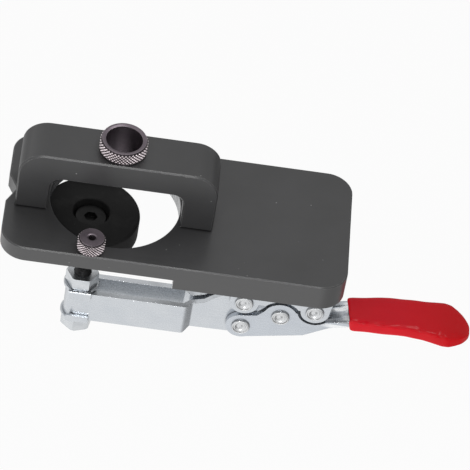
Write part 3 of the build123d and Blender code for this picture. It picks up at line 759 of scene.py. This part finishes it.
@dataclass
class SpunRivet:
    """A rivet with a dimpled head spun at each outer end."""

    node: str
    body: Body
    headed_width: float = 4.725 * MM
    head_height: float = 0.9 * MM
    steps: int = 64
    sharp_deg: float = 50.0
    profile_mm: tuple[Range, ...] = (
        (3.15, 0.0), (3.15, 0.35), (3.12, 0.55), (3.04, 0.72), (2.92, 0.84), (2.78, 0.9), (2.66, 0.86),
        (2.57, 0.74), (2.52, 0.62), (2.46, 0.6), (2.38, 0.64), (2.0, 0.66), (1.88, 0.58), (1.7, 0.34),
        (1.5, 0.14), (1.3, 0.06), (0.9, 0.08), (0.5, 0.2), (0.25, 0.28), (0.0, 0.3),
    )

    def half(self, head: float, shank: float, inner: float, seat: float) -> Mesh:
        """Turn the half of the rivet on the front side.

        Args:
            head: The head's radius.
            shank: The shank's radius.
            inner: How far from the middle plane the half starts.
            seat: How far from that plane its head sits.

        Returns:
            The half, about the Y axis, with its head towards -Y.
        """
        share = head / self.profile_mm[0][0]
        section = [(0.0, inner), (shank, inner), (shank, seat)]
        section += [(radius * share, seat + rise * MM) for radius, rise in self.profile_mm]
        bm = lathe(section, self.steps)
        bmesh.ops.rotate(bm, verts=bm.verts, cent=(0, 0, 0), matrix=Matrix.Rotation(math.pi / 2, 3, "X"))
        return bm

    def build(self) -> None:
        """Build both halves, joined where the rivet is whole, or dress a plain pin as it is."""
        low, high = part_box(self.node)
        centre = ((low.x + high.x) / 2, (low.z + high.z) / 2)
        finish = RivetFinish(self.node + "_spun", centre)
        if high.x - low.x < self.headed_width:
            dress_node(self.node, finish)
            return
        head, seat = (high.x - low.x) / 2, high.y - self.head_height
        spread = [(math.hypot(point.x - centre[0], point.z - centre[1]), abs(point.y))
                  for point in points_of(self.node)]
        inner = min(off for _, off in spread)
        shank = max(radius for radius, off in spread if off < seat + 0.05 * MM and radius < head * 0.9)
        whole = inner > seat * 0.9 or not any(off < seat - 0.1 * MM for _, off in spread)
        bm = self.half(head, shank, 0.0 if whole else inner, seat)
        back = bmesh.ops.duplicate(bm, geom=everything(bm))["geom"]
        verts = [item for item in back if isinstance(item, bmesh.types.BMVert)]
        bmesh.ops.rotate(bm, verts=verts, cent=(0, 0, 0), matrix=Matrix.Rotation(math.pi, 3, "Z"))
        if whole:
            inside = [face for face in bm.faces if all(abs(vert.co.y) < FINE_WELD for vert in face.verts)]
            bmesh.ops.delete(bm, geom=inside, context="FACES")
            bmesh.ops.remove_doubles(bm, verts=bm.verts, dist=WELD)
        bmesh.ops.recalc_face_normals(bm, faces=bm.faces)
        bmesh.ops.translate(bm, verts=bm.verts, vec=(centre[0], 0, centre[1]))
        place_piece(bm, finish.name, finish, self.body, Slot.RIVET_STEEL, self.node, self.sharp_deg, False)


@dataclass
class ToggleClamp:
    """The clamp's pressed parts, its link plates and its spun rivets."""

    zinc: Finish
    drawn: Finish
    sheet_ease: float = 0.35 * MM
    washer_share: float = 0.6
    arm_share: float = 1.6
    ease_segments: int = 3
    sheets: tuple[tuple[str, Body], ...] = (
        ("clamp_bracket_front", Body.BASE), ("clamp_bracket_back", Body.BASE), ("clamp_arm", Body.ARM),
        ("handle", Body.LEVER), ("link_plate_front", Body.LINK), ("link_plate_back", Body.LINK),
        ("saddle_washer_upper", Body.CARRIAGE), ("saddle_washer_lower", Body.CARRIAGE),
    )
    rivets: tuple[tuple[str, Body], ...] = (
        ("arm_pivot_rivet", Body.BASE), ("link_pivot_rivet", Body.BASE), ("handle_rivet", Body.LEVER),
        ("arm_joint_rivets", Body.LEVER), ("arm_joint_bush", Body.ARM),
    )

    def build(self) -> None:
        """Ease the pressed sheets' edges and spin the rivets."""
        for node, body in self.sheets:
            share = self.washer_share if "washer" in node else self.arm_share if node == "clamp_arm" else 1.0
            bm = eased_copy(node, self.sheet_ease * share, self.ease_segments)
            finish = self.drawn if node == "handle" else self.zinc
            place_piece(bm, node + "_eased", finish, body, Slot.ZINC_SHEET, node)
        for node, body in self.rivets:
            SpunRivet(node, body).build()


@dataclass
class ThreadedSpindle:
    """The long screw with its thread, both nuts and the pad's nut."""

    black: Finish
    shaded_black: Finish
    zinc: Finish
    pitch: float = 1.0 * MM
    thread_depth: float = 0.5 * MM
    steps: int = 32
    tooth: tuple[Range, ...] = ((0, 0.0), (0, 0.08), (1, 0.45), (1, 0.58), (0, 0.95), (0, 1.0))
    head_ease: float = 0.12 * MM
    head_skirt: float = 0.3 * MM
    head_gap: float = 0.1 * MM
    head_sharp_deg: float = 35.0
    thread_sharp_deg: float = 25.0
    nut_ease: float = 0.15 * MM
    nut_over_deg: float = 25.0
    nuts: tuple[tuple[str, Body], ...] = (
        ("spindle_nut_upper", Body.CARRIAGE), ("spindle_nut_lower", Body.CARRIAGE), ("pad_nut", Body.SPINDLE))

    def thread(self, radius: float, low: float, high: float) -> Mesh:
        """Sweep a thread's tooth up a helix and cut it off square.

        Args:
            radius: The crest's radius.
            low: The lower end.
            high: The upper end.

        Returns:
            The thread as a closed rod about the Z axis.
        """
        radii = (radius - self.thread_depth, radius)
        turns = math.ceil((high - low) / self.pitch) + 2
        bm = bmesh.new()
        line = [bm.verts.new((radii[crest], 0, low + (share - 1.5) * self.pitch)) for crest, share in self.tooth]
        geom = line + [bm.edges.new(pair) for pair in zip(line, line[1:])]
        bmesh.ops.spin(bm, geom=geom, cent=(0, 0, 0), axis=(0, 0, 1), dvec=(0, 0, self.pitch / self.steps),
                       angle=2 * math.pi * turns, steps=self.steps * turns, use_merge=False)
        bmesh.ops.remove_doubles(bm, verts=bm.verts, dist=WELD)
        for height, normal in ((low, (0, 0, -1)), (high, (0, 0, 1))):
            cut = bmesh.ops.bisect_plane(bm, geom=everything(bm), plane_co=(0, 0, height), plane_no=normal,
                                         clear_outer=True)
            rim = [item for item in cut["geom_cut"] if isinstance(item, bmesh.types.BMEdge)]
            bmesh.ops.edgeloop_fill(bm, edges=rim)
        bmesh.ops.recalc_face_normals(bm, faces=bm.faces)
        return bm

    def build(self) -> None:
        """Build the screw's head and thread, and the eased nuts."""
        screw = "spindle_screw"
        ride = (Body.SPINDLE, Slot.BLACK_STEEL, screw)
        low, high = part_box(screw)
        axis = upright(low, high)
        points = points_of(screw)
        head_low = min(point.z for point in points if off_axis(point, axis) > (high.x - low.x) / 2 * 0.9)
        shank = max(off_axis(point, axis) for point in points if point.z < head_low - 1 * MM)
        head = eased_copy(screw, self.head_ease)
        bmesh.ops.bisect_plane(head, geom=everything(head), plane_co=(0, 0, head_low - self.head_skirt),
                               plane_no=(0, 0, -1), clear_outer=True)
        place_piece(head, "spindle_head", self.shaded_black, *ride, self.head_sharp_deg)
        rod = self.thread(shank, low.z, head_low - self.head_gap)
        bmesh.ops.translate(rod, verts=rod.verts, vec=axis)
        place_piece(rod, "spindle_thread", self.black, *ride, self.thread_sharp_deg)
        for node, body in self.nuts:
            bm = eased_copy(node, self.nut_ease, angle_deg=self.nut_over_deg)
            place_piece(bm, node + "_eased", self.zinc, body, Slot.ZINC_NUT, node)


@dataclass
class PressurePad:
    """The moulded rubber pad, with a rolled edge and a stepped recess."""

    rubber: Finish
    hole: float = 2.98 * MM
    edge: float = 1.0 * MM
    recess_radius: float = 6.2 * MM
    recess_depth: float = 5.4 * MM
    lead_in: float = 0.5 * MM
    arc_steps: int = 5
    steps: int = 128
    sharp_deg: float = 50.0

    def build(self) -> None:
        """Turn the pad in its CAD node's place."""
        low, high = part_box("pad")
        radius, wall, floor = (high.x - low.x) / 2, self.recess_radius, high.z - self.recess_depth
        arc = [math.radians(90 * step / self.arc_steps) for step in range(self.arc_steps + 1)]
        roll = [(self.edge * (1 - math.sin(turn)), self.edge * (1 - math.cos(turn))) for turn in arc]
        bm = lathe([
            (self.hole, low.z), (self.hole, floor), (wall - self.lead_in, floor), (wall, floor + self.lead_in),
            (wall, high.z - self.lead_in), (wall + self.lead_in, high.z),
            *[(radius - by_sine, high.z - by_cosine) for by_sine, by_cosine in roll],
            *[(radius - by_cosine, low.z + by_sine) for by_sine, by_cosine in roll],
        ], self.steps, closed=True)
        bmesh.ops.translate(bm, verts=bm.verts, vec=upright(low, high))
        place_piece(bm, "pad_moulded", self.rubber, Body.SPINDLE, Slot.PAD_RUBBER, "pad", self.sharp_deg)


@dataclass(frozen=True)
class GripStation:
    """One section of the grip, in metres from its mouth."""

    along: float
    half_width: float
    half_thickness: float
    lift: float
    sway: float = 0.0

    def towards(self, other: "GripStation", share: float) -> "GripStation":
        """Blend this section with another one."""
        pairs = zip(astuple(self), astuple(other))
        return GripStation(*(mine + (theirs - mine) * share for mine, theirs in pairs))


@dataclass
class DippedGrip:
    """The vinyl grip, drawn section by section over the handle's tongue."""

    vinyl: Finish
    segments: int = 40
    squareness: float = 6.5
    between: int = 3
    between_over: float = 2 * MM
    skew_across: float = 0.09
    skew_down: float = 0.22
    skew_fade: float = 9.0 * MM
    mouth_wave: float = 0.35 * MM
    mouth_shift: float = 1.3
    crease: float = 0.3 * MM
    crease_at_deg: float = 140.0
    crease_sharpness: int = 6
    crease_waves: tuple[Colour, ...] = ((1.0, 0.93, 0.8), (0.6, 0.41, 2.0), (0.5, 1.7, 0.0))
    crease_slant: float = 0.7
    swell: float = 0.012
    swell_rate: float = 0.55
    calm_mouth_mm: float = 3
    calm_end_mm: Range = (43, 6)
    sag: float = 0.45 * MM
    sag_reach: float = 0.8
    sag_fade: float = 1.4
    sharp_deg: float = 60.0
    smooth_levels: int = 2
    lips_mm: tuple[Range, ...] = ((0.25, -0.15), (0.55, 0.0), (0.65, 0.9), (1.2, 1.1))
    stations_mm: tuple[tuple[float, ...], ...] = (
        (0.7, 5.75, 2.8, -0.1), (1.6, 5.95, 2.9, -0.05), (4.4, 6.3, 2.75, 0.3), (9.0, 6.9, 2.6, 0.95),
        (15.0, 7.25, 2.55, 1.5), (21.0, 7.3, 2.55, 1.75), (26.0, 7.5, 2.6, 1.5), (30.5, 8.3, 2.75, 1.05, 0.1),
        (33.5, 8.6, 2.8, 0.75, 0.1), (36.0, 8.2, 2.75, 0.5), (38.2, 7.0, 2.5, 0.25, -0.2),
        (40.3, 5.55, 2.05, -0.05, -0.45), (42.0, 3.6, 1.4, -0.25, -0.7), (42.9, 1.9, 0.8, -0.35, -0.8),
    )

    def sections(self) -> list[GripStation]:
        """List the stations with those between them.

        Returns:
            The sections from the mouth to the end.
        """
        stations = [GripStation(*(value * MM for value in row)) for row in self.stations_mm]
        fine = []
        for first, second in zip(stations, stations[1:]):
            steps = self.between if second.along - first.along > self.between_over else 1
            fine += [first.towards(second, step / steps) for step in range(steps)]
        return fine + [stations[-1]]

    def point(self, station: GripStation, angle: float) -> Vector:
        """Place a point of the grip's skin, with its creases and the slant of its mouth.

        Args:
            station: The section.
            angle: The turn round the section, from +Y by way of +Z.

        Returns:
            The point, from the middle of the mouth.
        """
        across, rise = (math.copysign(abs(part) ** (2 / self.squareness), part)
                        for part in (math.cos(angle), math.sin(angle)))
        run = station.along / MM
        end, end_fade = self.calm_end_mm
        quiet = min(1.0, run / self.calm_mouth_mm) * min(1.0, (end - run) / end_fade)
        edge = max(0.0, math.cos(angle - math.radians(self.crease_at_deg))) ** self.crease_sharpness
        wave = sum(share * math.sin(run * rate + shift) for share, rate, shift in self.crease_waves)
        pull = self.crease * edge * wave * quiet * self.crease_slant
        swell = 1 + quiet * self.swell * math.sin(run * self.swell_rate + 2 * angle)
        y = station.sway + across * station.half_width * swell - pull
        z = station.lift + rise * station.half_thickness * swell + pull
        fade = max(0.0, 1 - station.along / self.skew_fade)
        if rise > 0:
            z -= self.sag * min(1.0, fade * self.sag_fade) * max(0.0, 1 - (across / self.sag_reach) ** 2)
        x = station.along - fade * (y * self.skew_across + (z - station.lift) * self.skew_down)
        x += fade ** 2 * self.mouth_wave * math.sin(3 * angle + self.mouth_shift)
        return Vector((x, y, z))

    def draw(self, bm: Mesh, ring: Ring) -> Ring:
        """Extrude a ring of points and keep their order.

        Args:
            bm: The grip's mesh.
            ring: The points that end the mesh so far.

        Returns:
            The new ring, in the same order.
        """
        index = {vert: place for place, vert in enumerate(ring)}
        edges = {edge for vert in ring for edge in vert.link_edges if edge.other_vert(vert) in index}
        fresh = [None] * len(ring)
        for vert in bmesh.ops.extrude_edge_only(bm, edges=list(edges))["geom"]:
            if isinstance(vert, bmesh.types.BMVert):
                partners = (edge.other_vert(vert) for edge in vert.link_edges)
                fresh[next(index[partner] for partner in partners if partner in index)] = vert
        return fresh

    def build(self) -> None:
        """Draw the grip out from its mouth, close its end and turn its rim in."""
        low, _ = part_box("grip")
        neck = [point.z for point in points_of("grip") if point.x < low.x + 0.01 * MM]
        start = Vector((low.x, 0.0, (min(neck) + max(neck)) / 2))
        angles = [2 * math.pi * place / self.segments for place in range(self.segments)]
        bm = bmesh.new()
        rim = ring = bmesh.ops.create_circle(bm, segments=self.segments, radius=MM, cap_ends=False)["verts"]
        for number, station in enumerate(self.sections()):
            ring = self.draw(bm, ring) if number else ring
            for vert, angle in zip(ring, angles):
                vert.co = start + self.point(station, angle)
        bmesh.ops.poke(bm, faces=bmesh.ops.contextual_create(bm, geom=ring)["faces"])
        self.mouth(bm, rim, start)
        bmesh.ops.recalc_face_normals(bm, faces=bm.faces)
        piece = place_piece(bm, "grip_dipped", self.vinyl, Body.LEVER, Slot.VINYL, "grip", self.sharp_deg, False)
        smooth = piece.modifiers.new("smooth", "SUBSURF")
        smooth.levels = smooth.render_levels = self.smooth_levels

    def mouth(self, bm: Mesh, rim: Ring, start: Vector) -> None:
        """Turn the rim inward and close it against the tongue.

        Args:
            bm: The grip's mesh.
            rim: The mouth's points.
            start: The mouth's middle.
        """
        ring = rim
        places = [vert.co.copy() for vert in rim]
        for inset, depth in self.lips_mm:
            ring = self.draw(bm, ring)
            for vert, place in zip(ring, places):
                y, z = (math.copysign(max(abs(part) - inset * MM, 0), part)
                        for part in (place.y - start.y, place.z - start.z))
                vert.co = start + Vector((0, y, z)) + Vector((place.x - start.x + depth * MM, 0, 0))
        bmesh.ops.contextual_create(bm, geom=ring)


@dataclass(frozen=True)
class Lamp:
    """A soft rectangular lamp, in metres and watts."""

    name: str
    place: Colour
    size: Range
    power: float

    def hang(self, aim: Vector) -> None:
        """Hang the lamp.

        Args:
            aim: What it points at.
        """
        data = bpy.data.lights.new(self.name, "AREA")
        data.shape, data.energy = "RECTANGLE", self.power
        data.size, data.size_y = self.size
        lamp = show(self.name, data)
        lamp.location = self.place
        lamp.rotation_mode = "QUATERNION"
        lamp.rotation_quaternion = (aim - Vector(self.place)).to_track_quat("-Z", "Y")


@dataclass
class Studio:
    """Pale floor, soft lamps and the camera at the photograph's angle, fitted in cup-hole radii."""

    azimuth_deg: float = -3.8498
    elevation_deg: float = 44.8692
    roll_deg: float = 10.4712
    unit: float = 22.25 * MM
    distance: float = 54.6254
    aim: Range = (-1.8198, 0.5188)
    datum_rise: float = 6.0 * MM
    focal_px: float = 3590.55
    frame_px: float = 470.0
    sensor_mm: float = 36.0
    clip: Range = (0.05, 20.0)
    floor_drop: float = 0.30
    floor_half: float = 6.0
    ambient: float = 0.22
    gloss_turn: Range = (-0.7, 0.6)
    gloss: Range = (0.5, 1.18)
    bright_side: Colour = (-0.5, -0.55, 0.67)
    lamp_aim: Colour = (0.03, 0.0, -0.01)
    lamps: tuple[Lamp, ...] = (
        Lamp("top_panel", (0.35, 0.2, 1.0), (0.5, 0.4), 2.2),
        Lamp("front_strip", (-0.1, -0.75, 0.8), (0.6, 0.04), 2.2),
        Lamp("front_fill", (-0.2, -1.0, 0.15), (0.6, 0.3), 0.6),
    )

    def camera(self) -> None:
        """Place the camera from the photograph's fitted view."""
        turn, tilt, roll = (math.radians(v) for v in (self.azimuth_deg, self.elevation_deg, self.roll_deg))
        back = Vector((math.sin(turn) * math.cos(tilt), -math.cos(turn) * math.cos(tilt), math.sin(tilt)))
        flat_right = (-back).cross(Vector((0, 0, 1))).normalized()
        flat_up = flat_right.cross(-back)
        right = flat_right * math.cos(roll) + flat_up * math.sin(roll)
        up = flat_up * math.cos(roll) - flat_right * math.sin(roll)
        place = (back * self.distance - right * self.aim[0] - up * self.aim[1]) * self.unit
        place.z += self.datum_rise
        data = bpy.data.cameras.new("camera")
        data.sensor_width = self.sensor_mm
        data.lens = self.focal_px / self.frame_px * self.sensor_mm
        data.clip_start, data.clip_end = self.clip
        camera = show("camera", data)
        camera.matrix_world = Matrix((*zip(right, up, back, place), (0, 0, 0, 1)))
        bpy.context.scene.camera = camera

    def world(self) -> None:
        """Light the room plainly: white to the camera, and to gloss bright in front and dark behind."""
        world = bpy.data.worlds.new("room")
        world.use_nodes = True
        sheet = Sheet(world.node_tree)
        way = sheet.add("TexCoord").outputs["Generated"]
        facing = sheet.add("VectorMath", way, self.bright_side, operation="DOT_PRODUCT").outputs["Value"]
        strengths = (self.ambient, sheet.span(facing, *self.gloss_turn, *self.gloss), 1.0)
        last, gloss, white = (sheet.add("Background", Color=(1, 1, 1), Strength=level) for level in strengths)
        rays = sheet.add("LightPath").outputs
        for ray, seen in (("Is Glossy Ray", gloss), ("Is Transmission Ray", white), ("Is Camera Ray", white)):
            last = sheet.add("MixShader", rays[ray], last.outputs[0], seen.outputs[0])
        sheet.feed(sheet.nodes["World Output"].inputs[0], last.outputs[0])
        bpy.context.scene.world = world

    def floor(self) -> None:
        """Lay the pale floor well below the held jig."""
        bm = bmesh.new()
        bmesh.ops.create_grid(bm, x_segments=1, y_segments=1, size=self.floor_half)
        bmesh.ops.translate(bm, verts=bm.verts, vec=(0, 0, -self.floor_drop))
        show_mesh(bm, "floor", FloorFinish())

    def build(self) -> None:
        """Set up the room, its lamps and the camera."""
        self.world()
        self.floor()
        self.camera()
        for lamp in self.lamps:
            lamp.hang(Vector(self.lamp_aim))
        bpy.context.scene.view_settings.view_transform = "Standard"


def main() -> None:
    """Build the jig's pieces in order and dress them."""
    anodised, zinc = AnodisedFinish(), ZincFinish()
    # the handle's zinc: its draw lines from 76 mm on are partly painted reflection streaks
    drawn = ZincFinish("drawn_zinc", (0.52, 0.55, 0.59), (0.47, 0.50, 0.545), lines_from=76 * MM)
    nut_zinc = ZincFinish("nut_zinc", (0.62, 0.64, 0.66), (0.45, 0.48, 0.51), 0.2, 0.9, 3 * MM)
    gunmetal, black = GunmetalFinish(), BlackOxideFinish()
    PlateAndBridge(anodised, black).build()
    KnurledBush(gunmetal, "guide_bush", 40, 6.0 * MM, 0.9 * MM, 0.55 * MM).build()
    for node in ("pilot_bush_front", "pilot_bush_back"):
        KnurledBush(gunmetal, node, 26, 1.2 * MM, 0.5 * MM, 0.5 * MM).build()
    ToggleClamp(zinc, drawn).build()
    # painted shade: a darker, duller copy of the black oxide for the spindle's head, standing in for the shade in
    # its recess
    shaded_black = BlackOxideFinish("shaded_oxide", (0.004, 0.004, 0.004), (0.02, 0.02, 0.02), 0.2, 0.0)
    ThreadedSpindle(black, shaded_black, nut_zinc).build()
    PressurePad(RubberFinish()).build()
    DippedGrip(VinylFinish()).build()
    Studio().build()


if __name__ == "__main__":
    main()
